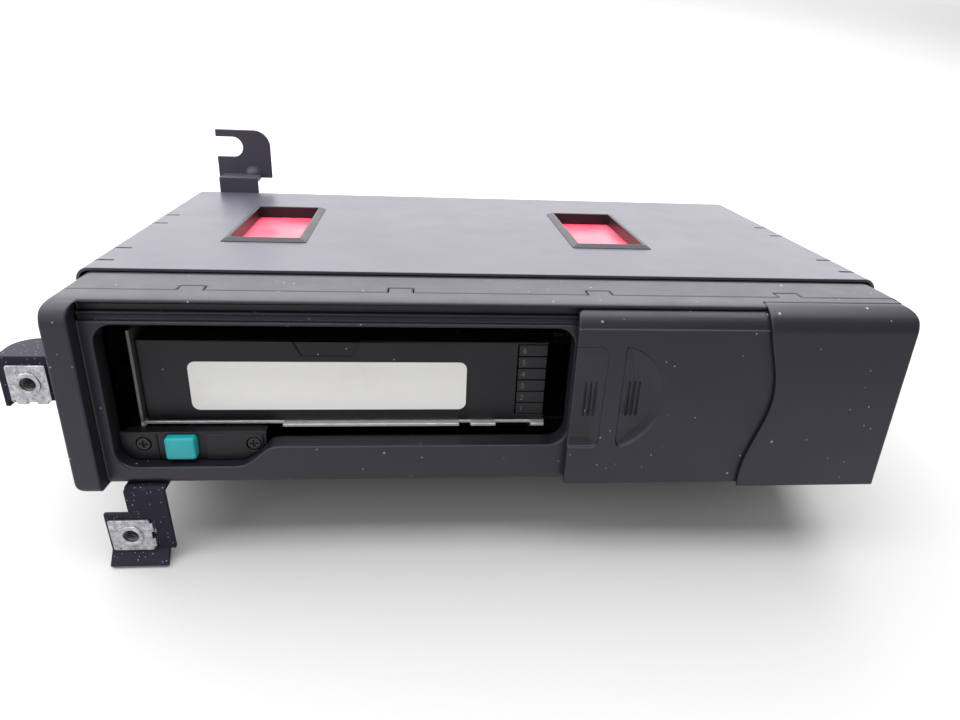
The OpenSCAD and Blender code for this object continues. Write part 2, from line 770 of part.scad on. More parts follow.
module chassis_pan() color(dark_steel) {
    difference() {
        union() {
            box([-pan_x, front_d + fit, 0], [pan_x, back_y, sheet]);
            for (s = [-1, 1])
                along_x(min(s * pan_x, s * (pan_x - sheet)), max(s * pan_x, s * (pan_x - sheet)))
                translate([pan_side_y, 0]) square([back_y - pan_side_y, body_h - 2.5]);
            along_y(back_y - sheet, back_y) intersection() {
                round_rect(-pan_x, -fold_r, pan_x, body_h - fit, fold_r - sheet);
                translate([-pan_x, 0]) square([2 * pan_x, body_h]);
            }
            box([leg_x0 - pocket_in, front_d + fit, 0],
                [leg_x0 + leg_w + pocket_in, front_d + foot_l + pocket_in, pocket_h + sheet]);
            for (x = [board_x0 + 6, board_x1 - 6], y = [board_y0 + 6, board_y1 - 6])
                rod_z(x, y, 0, board_z, standoff_r);
        }
        box([leg_x0 - fit, front_d - over, -over], [leg_x0 + leg_w + fit, front_d + foot_l + fit, pocket_h]);
        for (y = leg_screws) rod_z(leg_x0 + leg_w / 2, y, -over, pocket_h + 3, screw_r + run);
        for (s = [-1, 1], y = cover_screw_y)
            rod_x(s * pan_x - 3, s * pan_x + 3, y, cover_screw_z, screw_r + run);
        for (p = arm_screws) rod_x(-pan_x - 3, -pan_x + 3, p[0], p[1], screw_r + run);
        for (p = hook_screws) rod_y(p[0], back_y - 3, back_y + over, p[1], screw_r + run);
        box([socket_x - socket_w / 2, back_y - 3, socket_z - socket_h / 2],
            [socket_x + socket_w / 2, back_y + over, socket_z + socket_h / 2]);
        for (i = [0:7]) box([24 + i * 9, front_d + 52, -over], [27 + i * 9, front_d + 92, sheet + over]);
    }
}

module window_hole(x) {
    box([x - window_w / 2 - wall, front_d + window_y - window_d / 2 - wall, body_h - over],
        [x + window_w / 2 + wall, front_d + window_y + window_d / 2 + wall, body_h + sheet + over]);
}

module top_cover() color(dark_steel) {
    slit_y = [8.6, 23.8, 61.6, 76.4];
    skirt_z = 4;
    difference() {
        along_y(front_d, back_y) difference() {
            round_rect(-cov_x, skirt_z - fold_r, cov_x, body_h + sheet, fold_r);
            round_rect(-cov_x + sheet, skirt_z - fold_r - sheet, cov_x - sheet, body_h, fold_r - sheet);
            translate([-cov_x - over, skirt_z - 2 * fold_r]) square([2 * cov_x + 2 * over, 2 * fold_r]);
        }
        for (x = [left_x, right_x]) window_hole(x);
        for (s = [-1, 1], y = slit_y)
            box([min(s * (cov_x + over), s * (cov_x - slit_l)), front_d + y, body_h - 3],
            [max(s * (cov_x + over), s * (cov_x - slit_l)), front_d + y + slit_w, body_h + sheet + over]);
        for (s = [-1, 1], y = cover_screw_y)
            rod_x(s * cov_x - 3, s * cov_x + 3, y, cover_screw_z, screw_r + fit);
        for (p = arm_screws) rod_x(-cov_x - 3, -cov_x + 3, p[0], p[1], screw_r + fit);
    }
}

// Frame with sloped outer faces that snaps into a window of the cover
module window_frame(x) color(black) {
    y = front_d + window_y;
    top = body_h + sheet + collar_h;
    flat = 0.8;
    half_w = window_w / 2 + flat;
    half_d = window_d / 2 + flat;
    difference() {
        union() {
            intersection() {
                along_y(0, 2 * back_y) slope(x, half_w, top);
                along_x(x - body_w, x + body_w) slope(y, half_d, top);
            }
            box([x - window_w / 2 - wall + fit, y - window_d / 2 - wall + fit, body_h + sheet - pan_drop],
                [x + window_w / 2 + wall - fit, y + window_d / 2 + wall - fit, body_h + sheet + eps]);
        }
        box([x - window_w / 2, y - window_d / 2, body_h - 10],
            [x + window_w / 2, y + window_d / 2, top + over]);
    }
}
module slope(mid, half, top) {
    polygon([[mid - half - collar_w, body_h + sheet], [mid + half + collar_w, body_h + sheet],
        [mid + half, top], [mid - half, top]]);
}

module window_pan(x) color(red) {
    y = front_d + window_y;
    z1 = body_h + sheet - pan_drop;
    half_w = window_w / 2 + wall - fit;
    half_d = window_d / 2 + wall - fit;
    box([x - half_w, y - half_d, z1 - 1.2], [x + half_w, y + half_d, z1]);
}

module mech_plate() color(zinc) {
    difference() {
        box([mech_x0, front_d + 10, mech_z], [post_x + 4, back_y - sheet - 2, mech_z + sheet]);
        box([play_x + 8, disc_y - 12, mech_z - over], [post_x - 12, disc_y + 12, mech_z + sheet + over]);
        for (p = mech_posts) rod_z(p[0], p[1], mech_z - over, mech_z + sheet + over, post_r - run);
    }
}
mech_posts = [[post_x, post_y[0]], [post_x, post_y[1]], rear_post];

module dampers() color(black) {
    for (x = [mech_x0 + 8, post_x - 6], y = [front_d + 18, back_y - 14]) difference() {
        rod_z(x, y, sheet, mech_z, 5);
        translate([x, y, (sheet + mech_z) / 2]) rotate_extrude() translate([5, 0]) circle(0.8);
    }
}

module guide_posts() color(zinc) {
    for (p = mech_posts) rod_z(p[0], p[1], mech_z + sheet, body_h - 2, post_r);
}

// Plate on the guide posts that carries the turntable and the pickup
module lift_deck() color(dark_steel) {
    boss_z = deck_z - 1;
    boss_h = 6;
    difference() {
        union() {
            box([deck_x0, disc_y - deck_half_y, deck_z], [deck_x1, disc_y + deck_half_y, deck_z + deck_t]);
            for (y = post_y)
                box([post_x - 14, min(y, disc_y), deck_z],
                    [post_x - boss_r, max(y, disc_y), deck_z + deck_t]);
            for (y = post_y) box([post_x - 14, y - 3, deck_z], [post_x, y + 3, deck_z + deck_t]);
            box([rear_post[0] - 3, disc_y, deck_z], [rear_post[0] + 3, rear_post[1], deck_z + deck_t]);
            for (p = mech_posts) rod_z(p[0], p[1], boss_z, boss_z + boss_h, boss_r);
            rod_x(post_x - boss_r - eps, slide_x + sheet - 0.1, pin_y, pin_z, pin_r);
            for (y = [disc_y - rod_y, disc_y + rod_y], x = [sled_x0 - 3, deck_x1 - 2])
                box([x, y - 1.6, deck_z + deck_t - eps], [x + 2, y + 1.6, rod_z + rod_r + 0.8]);
            box([deck_x1 - 2, disc_y + screw_y - 2, deck_z],
                [deck_x1, disc_y + screw_y + 2, screw_z + lead_r + 0.6]);
        }
        for (p = mech_posts) rod_z(p[0], p[1], boss_z - over, boss_z + boss_h + over, post_r + run);
        box([sled_x0 - 1, disc_y - sled_half_y, deck_z - over],
            [deck_x1 - 3, disc_y + sled_half_y, deck_z + deck_t + over]);
        rod_z(play_x, disc_y, deck_z - over, deck_z + deck_t + over, shaft_r + 1);
        for (y = [disc_y - rod_y, disc_y + rod_y])
            rod_x(sled_x0 - 4, deck_x1 + over, y, rod_z, rod_r + run);
        rod_x(deck_x1 - 3, deck_x1 + over, disc_y + screw_y, screw_z, lead_r + run);
    }
}

module spindle_motor() color(zinc) {
    difference() {
        union() {
            rod_z(play_x, disc_y, deck_z - motor_h, deck_z, 11);
            rod_z(play_x, disc_y, deck_z - eps, deck_z + deck_t, shaft_r + 0.9);
        }
        rod_z(play_x, disc_y, deck_z - motor_h + 0.8, deck_z + deck_t + over, shaft_r + run);
    }
}

module turntable() color(black) {
    hub_r = 7.2;
    translate([play_x, disc_y, 0]) rotate_extrude() polygon([
        [0, deck_z - 2], [shaft_r, deck_z - 2], [shaft_r, deck_z + deck_t + fit],
            [hub_r, deck_z + deck_t + fit],
        [turn_r, seat_z - 0.8], [turn_r, seat_z], [hub_r, seat_z], [hub_r - 1, seat_z + 2], [0, seat_z + 2]]);
}

module pickup_sled() color(dark_steel) {
    bush = 6;
    finger_z = screw_z - lead_r - 0.2;
    difference() {
        union() {
            box([sled_x0, disc_y - sled_half_y, sled_z],
                [sled_x0 + sled_l, disc_y + sled_half_y, sled_z + sled_h]);
            box([sled_x0, disc_y - rod_y - 1.8, sled_z], [sled_x0 + bush, disc_y + rod_y + 1.8, rod_z + 1.8]);
            box([sled_x0 + 1, disc_y + rod_y, sled_z], [sled_x0 + bush - 1, disc_y + screw_y + 1, finger_z]);
        }
        for (s = [-1, 1])
            rod_x(sled_x0 - over, sled_x0 + bush + eps, disc_y + s * rod_y, rod_z, rod_r + run);
        rod_z(sled_x0 + 5, disc_y, sled_z + sled_h - 1.5, sled_z + sled_h + over, 3);
    }
}

module pickup_lens() color("lightcyan") {
    lens_z = sled_z + sled_h - 1.5;
    rod_z(sled_x0 + 5, disc_y, lens_z, lens_z + 1, 2.6);
    translate([sled_x0 + 5, disc_y, lens_z + 1 - eps]) intersection() {
        translate([0, 0, -3]) sphere(4);
        cylinder(r = 2.2, h = 2);
    }
}

module sled_rods() color(zinc) {
    for (s = [-1, 1]) rod_x(sled_x0 - 3, deck_x1, disc_y + s * rod_y, rod_z, rod_r);
}

module lead_screw() color(brass) {
    x0 = feed_x0 + feed_l + fit;
    rod_x(x0, deck_x1, disc_y + screw_y, screw_z, lead_r);
    rod_x(x0 + 2, x0 + 3, disc_y + screw_y, screw_z, lead_r + 0.6);
}

module feed_motor() color(zinc) {
    rod_x(feed_x0, feed_x0 + feed_l, disc_y + screw_y, screw_z, feed_r);
    box([feed_x0, disc_y + screw_y - feed_r, deck_z + deck_t],
        [feed_x0 + feed_l, disc_y + screw_y + feed_r, screw_z - 1]);
}

// Plate on the guide posts that brings the clamper down on a disc
module clamp_carriage() color(dark_steel) {
    boss_h = 6;
    hub_r = 2.5;
    difference() {
        union() {
            along_z(clamp_z, clamp_z + clamp_t) {
                translate([play_x, disc_y]) circle(19);
                translate([rear_post[0] - 4, disc_y]) square([8, rear_post[1] - disc_y]);
                translate([play_x, post_y[0] - 4]) square([post_x - play_x, 8]);
                translate([play_x, post_y[1] - 4]) square([post_x - play_x, 8]);
                translate([play_x - 4, post_y[0] - 4]) square([12, post_y[1] - post_y[0] + 8]);
            }
            for (p = mech_posts) rod_z(p[0], p[1], clamp_z, clamp_z + boss_h, boss_r);
        }
        for (p = mech_posts) rod_z(p[0], p[1], clamp_z - over, clamp_z + boss_h + over, post_r + run);
        rod_z(play_x, disc_y, clamp_z - over, clamp_z + clamp_t + over, hub_r + run);
    }
}

module clamper() color(black) {
    hub_r = 2.5;
    translate([play_x, disc_y, 0]) rotate_extrude() polygon([
        [0, clamp_z - fit - clamper_h + 1], [7.4, clamp_z - fit - clamper_h + 1],
            [7.6, clamp_z - fit - clamper_h],
        [turn_r - 1, clamp_z - fit - clamper_h], [turn_r - 1, clamp_z - fit], [hub_r, clamp_z - fit],
        [hub_r, clamp_z + clamp_t + fit], [hub_r + 2, clamp_z + clamp_t + fit],
        [hub_r + 2, clamp_z + clamp_t + 1.2], [0, clamp_z + clamp_t + 1.2]]);
}

// Plate that slides along the right wall and lifts the deck by a sloped slot; its top edge is a rack
module lift_slide() color(zinc) {
    tooth = pinion_m * PI;
    slot_w = pin_r + fit;
    slope_a = atan(1 / lift_ratio);
    slot_len = lift / sin(slope_a);
    y0 = pin_y - slide_travel - slide_pad;
    y1 = pin_y + slide_pad;
    along_x(slide_x, slide_x + sheet) {
        difference() {
            translate([y0, mech_z + sheet + fit]) square([y1 - y0, slide_top - mech_z - sheet - fit]);
            translate([pin_y, pin_z]) circle(slot_w);
            translate([pin_y - slide_travel, pin_z + lift]) circle(slot_w);
            translate([pin_y, pin_z]) rotate(180 - slope_a) translate([0, -slot_w])
                square([slot_len, 2 * slot_w]);
        }
        for (i = [0:floor((slide_travel + 4) / tooth)])
            translate([pinion_y - i * tooth, slide_top - eps]) rack_tooth();
    }
}
module rack_tooth() {
    h = 1.8 * pinion_m;
    half = pinion_m * PI / 4 - backlash / 2;
    spread = pinion_m * tan(20);
    polygon([[-half - spread, 0], [half + spread, 0], [half - spread, h], [-half + spread, h]]);
}
pinion_y = pin_y - 0.5;

module lift_motor() color(zinc) {
    plate_x = post_x - 1;
    body_l = 19;
    tab_y = pinion_y + lift_motor_r + 2;
    box([plate_x, pinion_y - lift_motor_r, pinion_z - lift_motor_r],
        [plate_x + sheet, tab_y, pinion_z + lift_motor_r]);
    box([plate_x, tab_y - sheet, slide_top + 2 * pinion_m + fit],
        [pan_x - sheet, tab_y, pinion_z + lift_motor_r]);
    rod_x(plate_x - body_l, plate_x + eps, pinion_y, pinion_z, lift_motor_r);
    rod_x(plate_x, pan_x - sheet - fit, pinion_y, pinion_z, shaft_r);
}

// Pinion with a gap between two teeth straight below its axis, where a rack tooth stands
module lift_pinion() color("white") {
    root = pinion_r - 1.1 * pinion_m;
    tip = pinion_r + 0.9 * pinion_m;
    half_root = 0.3 * pinion_m * PI;
    half_tip = 0.1 * pinion_m * PI;
    x0 = post_x + 2 * fit;
    difference() {
        along_x(x0, slide_x + sheet - eps) translate([pinion_y, pinion_z]) {
            circle(root);
            for (i = [0:pinion_n - 1]) rotate(-90 + (i + 0.5) * 360 / pinion_n)
                polygon([[root - 0.4, -half_root], [root, -half_root], [tip, -half_tip],
                    [tip, half_tip], [root, half_root], [root - 0.4, half_root]]);
        }
        rod_x(x0 - over, slide_x + sheet + over, pinion_y, pinion_z, shaft_r + run);
    }
}

module main_board() color(board_green) {
    chip_h = 2.2;
    difference() {
        box([board_x0, board_y0, board_z], [board_x1, board_y1, board_z + board_t]);
        for (x = [board_x0 + 6, board_x1 - 6], y = [board_y0 + 6, board_y1 - 6])
            rod_z(x, y, board_z - over, board_z + board_t + over, screw_r);
    }
    for (p = [[22, 24, 18], [52, 30, 14], [80, 22, 12], [36, 60, 20], [84, 58, 10]])
        translate([board_x0 + p[0], board_y0 + p[1], board_z + board_t - eps]) cube([p[2], p[2], chip_h]);
    for (i = [0:3]) translate([board_x0 + 20 + i * can_pitch, board_y0 + 10, board_z + board_t - eps])
        cylinder(r = can_r, h = can_h);
}

module rear_socket() color(black) {
    ring_r = 6;
    difference() {
        union() {
            box([socket_x - socket_w / 2 + fit, back_y - socket_d, socket_z - socket_h / 2 + fit],
                [socket_x + socket_w / 2 - fit, back_y + 2, socket_z + socket_h / 2 - fit]);
            box([socket_x - socket_w / 2 - 2, back_y, socket_z - socket_h / 2 - 2],
                [socket_x + socket_w / 2 + 2, back_y + 1.2, socket_z + socket_h / 2 + 2]);
        }
        rod_y(socket_x, back_y - 5, back_y + 3, socket_z, ring_r);
    }
    for (a = [-120:40:120])
        rod_y(socket_x + 4 * sin(a), back_y - 5 - eps, back_y, socket_z + 4 * cos(a), 0.5);
}

// Flanged arm on the left side, with a plate for a clip nut
module left_bracket() color(dark_steel) {
    x0 = x_left - arm_reach;
    low = nut_z - nut_h / 2 + run;
    flange_y1 = arm_y + arm_l;
    difference() {
        union() {
            box([x0, arm_y, low], [-cov_x, arm_y + strap_t, arm_z]);
            along_z(arm_z - strap_t, arm_z) {
                translate([x0 + arm_d / 2, arm_y]) square([-cov_x - x0 - arm_d / 2, arm_d]);
                translate([x0, arm_y]) square([-cov_x - x0, arm_d / 2]);
                translate([x0 + arm_d / 2, arm_y + arm_d / 2]) circle(arm_d / 2);
            }
            box([x0, arm_y, low - 2], [x0 + strap_t, arm_y + 8, arm_z]);
            box([arm_flange_x, arm_y, low], [-cov_x, flange_y1, arm_z]);
        }
        for (p = arm_screws) rod_x(arm_flange_x - over, -cov_x + over, p[0], p[1], screw_r + fit);
        rod_y(nut_x, arm_y - over, arm_y + strap_t + over, nut_z, barrel_r + fit);
    }
}

// Folded clip nut: two leaves joined by a bend, with a threaded barrel on the back one
module clip_nut(gap) {
    bend_t = nut_t;
    difference() {
        union() {
            along_y(-nut_t, 0) round_rect(-nut_w / 2, -nut_h / 2, nut_w / 2, nut_h / 2, 0.8);
            along_y(gap, gap + nut_t)
                round_rect(-nut_w / 2 + 1, -nut_h / 2, nut_w / 2 - 1, nut_h / 2 - 3, 0.8);
            box([-nut_w / 2 + 1.5, -nut_t, -nut_h / 2 - bend_t], [-1.5, gap + nut_t, -nut_h / 2 + eps]);
            box([1.5, -nut_t, -nut_h / 2 - bend_t], [nut_w / 2 - 1.5, gap + nut_t, -nut_h / 2 + eps]);
            rod_y(0, -nut_t, gap + barrel_l, 0, barrel_r);
            rod_y(0, -nut_t - 0.4, 0, 0, barrel_r + 0.2);
        }
        rod_y(0, -nut_t - over, gap + barrel_l + over, 0, thread_r);
    }
}

module left_clip_nut() color(zinc) {
    translate([nut_x, arm_y, nut_z]) clip_nut(strap_t);
}

// Strap from a pocket under the pan, forward and down past the bezel, with a nut plate and a toe
module leg_bracket() color(dark_steel) {
    run_z = -fit - strap_t;
    toe = 5.5;
    plate_top = 8.6;
    slot_x = leg_nut_x + nut_h / 2;
    difference() {
        union() {
            along_x(leg_x0, leg_x0 + leg_w) {
                polygon([[front_d + foot_l, 0.05], [front_d + foot_l, strap_t], [front_d + fit, strap_t],
                    [front_d - 4.5, -fit], [leg_y + strap_t, -fit], [leg_y, run_z],
                    [front_d - 4.5, run_z], [front_d + fit, 0.05]]);
            }
            leg_place() {
                translate([0, 0, -leg_len]) cube([leg_w, strap_t, leg_len + strap_t / 2]);
                translate([-leg_ext, 0, -leg_len]) cube([leg_ext + over, strap_t, leg_len - plate_top]);
                translate([-leg_ext, 0, -leg_len]) rotate([-45, 0, 0]) translate([0, 0, -toe])
                    cube([leg_ext + leg_w - 2, strap_t, toe + 0.6]);
            }
        }
        leg_place() {
            rod_y(leg_nut_x, -over, strap_t + over, -leg_nut_down, barrel_r + fit);
            box([slot_x - fit, -over, -leg_nut_down - nut_w / 2 + over],
                [slot_x + nut_t + fit, strap_t + over, -leg_nut_down + nut_w / 2 - over]);
        }
        for (y = leg_screws) {
            rod_z(leg_x0 + leg_w / 2, y, -over, strap_t + over, screw_r + fit);
            translate([leg_x0 + leg_w / 2, y, -eps])
                cylinder(r1 = head_r + fit, r2 = screw_r + fit, h = strap_t - 0.2);
        }
    }
}
module leg_place() {
    translate([leg_x0, leg_y, -fit - strap_t]) rotate([-leg_tilt, 0, 0]) children();
}
leg_len = (leg_drop - 4.8) / cos(leg_tilt);
leg_nut_x = nut_h / 2 + 1 - leg_ext;
leg_nut_down = 16.9;

module leg_clip_nut() color(zinc) {
    leg_place() translate([leg_nut_x, 0, -leg_nut_down]) rotate([0, -90, 0]) clip_nut(strap_t);
}

// Upright on the rear wall, bent back and up into a plate with a slot open to the left
module rear_hook() color(dark_steel) {
    tab_x1 = hook_x0 + hook_tab_w;
    plate_x0 = hook_x0 - 2.3;
    plate_x1 = plate_x0 + hook_w;
    plate_z0 = hook_flange_z;
    slot_x = plate_x0 + 7.8;
    slot_z = hook_z - 7.9;
    round_r = 7.5;
    difference() {
        union() {
            box([hook_x0, back_y, hook_foot_z], [tab_x1, back_y + strap_t, hook_flange_z + strap_t]);
            box([hook_x0, back_y, hook_flange_z], [tab_x1, hook_y + strap_t, hook_flange_z + strap_t]);
            along_y(hook_y, hook_y + strap_t) difference() {
                union() {
                    translate([plate_x0, plate_z0]) square([hook_w - round_r, hook_z - plate_z0]);
                    translate([plate_x0, plate_z0]) square([hook_w, hook_z - plate_z0 - round_r]);
                    translate([plate_x1 - round_r, hook_z - round_r]) circle(round_r);
                }
                translate([slot_x, slot_z]) circle(slot_r);
                translate([plate_x0 - over, slot_z - slot_r]) square([slot_x - plate_x0 + over, 2 * slot_r]);
            }
            translate([plate_x0 + 16.5, hook_y, hook_flange_z + strap_t]) sphere(3.8);
        }
        for (p = hook_screws) rod_y(p[0], back_y - over, back_y + strap_t + over, p[1], screw_r + fit);
    }
}

module side_screw(len) {
    cylinder(r = screw_r - 0.1, h = len + eps);
    translate([0, 0, len]) difference() {
        cylinder(r = head_r, h = 1.6);
        for (a = [0, 90]) rotate(a) translate([0, 0, 1.6]) cube([0.7, 3.2, 1.4], center = true);
    }
}

module bracket_screws() color(black) {
    side = 5;
    rear = 5;
    for (p = arm_screws) translate([arm_flange_x + side, p[0], p[1]]) rotate([0, -90, 0]) side_screw(side);
    for (p = hook_screws)
        translate([p[0], back_y + strap_t - rear, p[1]]) rotate([-90, 0, 0]) side_screw(rear);
    for (y = leg_screws) translate([leg_x0 + leg_w / 2, y, 0.1]) {
        cylinder(r1 = head_r, r2 = screw_r - 0.1, h = strap_t - 0.4);
        cylinder(r = screw_r - 0.1, h = pocket_h + sheet);
    }
}

module cover_screws() color(black) {
    reach = 2 * sheet + fit;
    for (s = [-1, 1], y = cover_screw_y)
        translate([s * (cov_x - reach), y, cover_screw_z]) rotate([0, s * 90, 0]) side_screw(reach);
}

// Moves a piece from the bezel's front face to the part's own origin
module seat() {
    translate([0, -origin_y, 0]) children();
}

seat() chassis_pan();
seat() top_cover();
seat() front_frame();
seat() front_bezel();
seat() end_fascia();
seat() door_outer();
seat() door_inner();
seat() eject_panel();
seat() eject_screws();
seat() eject_button();
seat() magazine_latch();
seat() window_frame(left_x);  // window_frame_left
seat() window_frame(right_x);  // window_frame_right
seat() window_pan(left_x);  // window_pan_left
seat() window_pan(right_x);  // window_pan_right
seat() magazine_cradle();
seat() magazine_shell();
seat() magazine_label();
for (k = [1:trays]) seat() tray(k);
seat() mech_plate();
seat() dampers();
seat() guide_posts();
seat() lift_deck();
seat() spindle_motor();
seat() turntable();
seat() pickup_sled();
seat() pickup_lens();
seat() sled_rods();
seat() lead_screw();
seat() feed_motor();
seat() clamp_carriage();
seat() clamper();
seat() lift_slide();
seat() lift_motor();
seat() lift_pinion();
seat() main_board();
seat() rear_socket();
seat() left_bracket();
seat() left_clip_nut();
seat() leg_bracket();
seat() leg_clip_nut();
seat() rear_hook();
seat() bracket_screws();
seat() cover_screws();
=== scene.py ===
import json
import math
import bpy
from mathutils import Matrix, Vector


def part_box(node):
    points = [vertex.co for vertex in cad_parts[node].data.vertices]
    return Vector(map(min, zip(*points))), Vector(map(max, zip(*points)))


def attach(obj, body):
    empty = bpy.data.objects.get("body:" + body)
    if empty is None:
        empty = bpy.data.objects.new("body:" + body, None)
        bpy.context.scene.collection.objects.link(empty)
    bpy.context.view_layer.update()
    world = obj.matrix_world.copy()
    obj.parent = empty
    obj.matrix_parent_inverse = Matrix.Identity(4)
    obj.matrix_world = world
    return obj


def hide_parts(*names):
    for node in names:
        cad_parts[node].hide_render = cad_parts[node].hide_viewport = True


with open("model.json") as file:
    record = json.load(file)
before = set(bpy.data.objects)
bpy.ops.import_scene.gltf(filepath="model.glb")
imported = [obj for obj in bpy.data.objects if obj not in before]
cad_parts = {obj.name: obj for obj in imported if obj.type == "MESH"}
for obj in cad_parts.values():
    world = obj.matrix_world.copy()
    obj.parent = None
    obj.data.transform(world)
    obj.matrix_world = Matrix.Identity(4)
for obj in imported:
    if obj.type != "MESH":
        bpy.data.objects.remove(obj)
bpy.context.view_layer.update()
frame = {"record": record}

mm = 0.001
frontY = -94.9 * mm  # the bezel's front face in the part's frame


def at(x, y, z):
    # millimetres from the bezel's front face, as in the drawing
    return Vector((x * mm, y * mm + frontY, z * mm))


# camera
shot = {
    "place": at(-25.8, -187.9, 128.8),
    "right": (0.99589, -0.08117, 0.04028),
    "down": (0.00408, -0.40398, -0.91476),
    "forward": (0.09053, 0.91116, -0.40198),
    "lens": 26.02,
}


def makeCamera(s):
    cam = bpy.data.cameras.new("camera")
    cam.lens = s["lens"]
    cam.sensor_width = 36
    cam.clip_start = 0.01
    cam.clip_end = 50
    obj = bpy.data.objects.new("camera", cam)
    bpy.context.scene.collection.objects.link(obj)
    right, up, back = Vector(s["right"]), -Vector(s["down"]), -Vector(s["forward"])
    turn = Matrix((right, up, back)).transposed().to_4x4()
    obj.matrix_world = Matrix.Translation(s["place"]) @ turn
    bpy.context.scene.camera = obj


makeCamera(shot)
print("camera set")


# shader maths
class Sock:
    def __init__(self, finish, out):
        self.finish = finish
        self.out = out

    def maths(self, how, a, b=None):
        values = {0: a} if b is None else {0: a, 1: b}
        return self.finish.add("ShaderNodeMath", {"operation": how}, values)

    def __add__(self, other):
        return self.maths("ADD", self, other)

    __radd__ = __add__

    def __sub__(self, other):
        return self.maths("SUBTRACT", self, other)

    def __rsub__(self, other):
        return self.maths("SUBTRACT", other, self)

    def __mul__(self, other):
        return self.maths("MULTIPLY", self, other)

    __rmul__ = __mul__

    def __and__(self, other):
        return self.maths("MINIMUM", self, other)

    def __or__(self, other):
        return self.maths("MAXIMUM", self, other)

    def __gt__(self, other):
        return self.maths("GREATER_THAN", self, other)

    def __lt__(self, other):
        return self.maths("LESS_THAN", self, other)

    def __pow__(self, other):
        return self.maths("POWER", self, other)


class Finish:
    def __init__(self, name, **fixed):
        self.mat = bpy.data.materials.new(name)
        self.mat.use_nodes = True
        self.tree = self.mat.node_tree
        self.shader = self.tree.nodes["Principled BSDF"]
        for key, value in fixed.items():
            self.shader.inputs[key.replace("_", " ")].default_value = value
        self.place = self.add("ShaderNodeTexCoord", out="Object")

    def add(self, kind, settings=None, values=None, out=0):
        node = self.tree.nodes.new(kind)
        for key, value in (settings or {}).items():
            if key == "stops":
                ramp = node.color_ramp.elements
                while len(ramp) < len(value):
                    ramp.new(0.5)
                for stop, (where, shade) in zip(ramp, value):
                    stop.position = where
                    stop.color = (shade, shade, shade, 1)
            else:
                setattr(node, key, value)
        for key, value in (values or {}).items():
            self.feed(node.inputs[key], value)
        return Sock(self, node.outputs[out])

    def feed(self, socket, value):
        if isinstance(value, Sock):
            self.tree.links.new(value.out, socket)
        else:
            socket.default_value = value

    def put(self, name, value):
        self.feed(self.shader.inputs[name], value)

    # patterns, sized in millimetres
    def noise(self, size, detail=3.0, rough=0.55, where=None):
        return self.add("ShaderNodeTexNoise", None, {
            "Vector": where or self.place, "Scale": 1000 / size, "Detail": detail, "Roughness": rough})

    def ramp(self, value, low, high):
        return self.add("ShaderNodeValToRGB", {"stops": [(low, 0.0), (high, 1.0)]}, {"Fac": value})

    def along(self, axis):
        return self.add("ShaderNodeSeparateXYZ", None, {"Vector": self.place}, axis)

    def height(self):
        return self.along("Z")

    def depth(self):
        return self.along("Y")

    def stretched(self, x, y, z):
        return self.add("ShaderNodeMapping", None, {"Vector": self.place, "Scale": (x, y, z)})

    def mix(self, mask, a, b):
        node = self.tree.nodes.new("ShaderNodeMix")
        node.data_type = "RGBA"
        self.feed(node.inputs["Factor"], mask)
        self.feed(node.inputs["A"], a)
        self.feed(node.inputs["B"], b)
        return Sock(self, node.outputs["Result"])

    def specks(self, pitch, size, share):
        # small round specks, one in some of the cells
        cells = self.add("ShaderNodeTexVoronoi", None, {"Vector": self.place, "Scale": 1000 / pitch})
        pick = self.add("ShaderNodeTexVoronoi", None,
                        {"Vector": self.place, "Scale": 1000 / pitch}, "Color")
        shade = self.add("ShaderNodeSeparateColor", None, {"Color": pick})
        return (cells < size / pitch) * (shade > 1 - share)

    def soft(self, width):
        return self.add("ShaderNodeBevel", {"samples": 4}, {"Radius": width * mm})

    def edges(self, width):
        # worn edges: where a rounded normal leaves the true one; on the plastics the same mask also lays a
        # painted edge highlight
        soft = self.soft(width)
        true = self.add("ShaderNodeNewGeometry", out="Normal")
        flat = self.add("ShaderNodeVectorMath", {"operation": "DOT_PRODUCT"}, {0: soft, 1: true}, "Value")
        return 1 - flat

    def raised(self, height, strength, depth, normal=None):
        values = {"Height": height, "Strength": strength, "Distance": depth * mm}
        if normal:
            values["Normal"] = normal
        return self.add("ShaderNodeBump", None, values)

    def bump(self, height, strength, depth, normal=None):
        self.put("Normal", self.raised(height, strength, depth, normal))


def colour(r, g, b):
    # screen values to linear
    lin = [c / 255 / 12.92 if c < 10 else ((c / 255 + 0.055) / 1.055) ** 2.4 for c in (r, g, b)]
    return (*lin, 1)


def makeTint(f, shade):
    f.shader.inputs["Specular Tint"].default_value = (*shade, 1)


coolTint = (0.9, 0.89, 1.0)
grainedPlastic = {
    "charcoal": {"base": (20, 19, 27), "wornAndHighlight": (96, 94, 108), "dust": 0.13,
                 "rough": 0.4, "shine": 0.6, "grain": 0.35, "depth": 0.018, "soft": 0.8},
    "black": {"base": (19, 18, 21), "wornAndHighlight": (54, 53, 58), "dust": 0.07,
              "rough": 0.36, "shine": 0.42, "grain": 0.3, "depth": 0.012, "soft": 0.3},
    "tray": {"base": (35, 32, 32), "wornAndHighlight": (74, 71, 70), "dust": 0.03,
             "rough": 0.4, "shine": 0.42, "grain": 0.3, "depth": 0.012, "soft": 0.2},
}


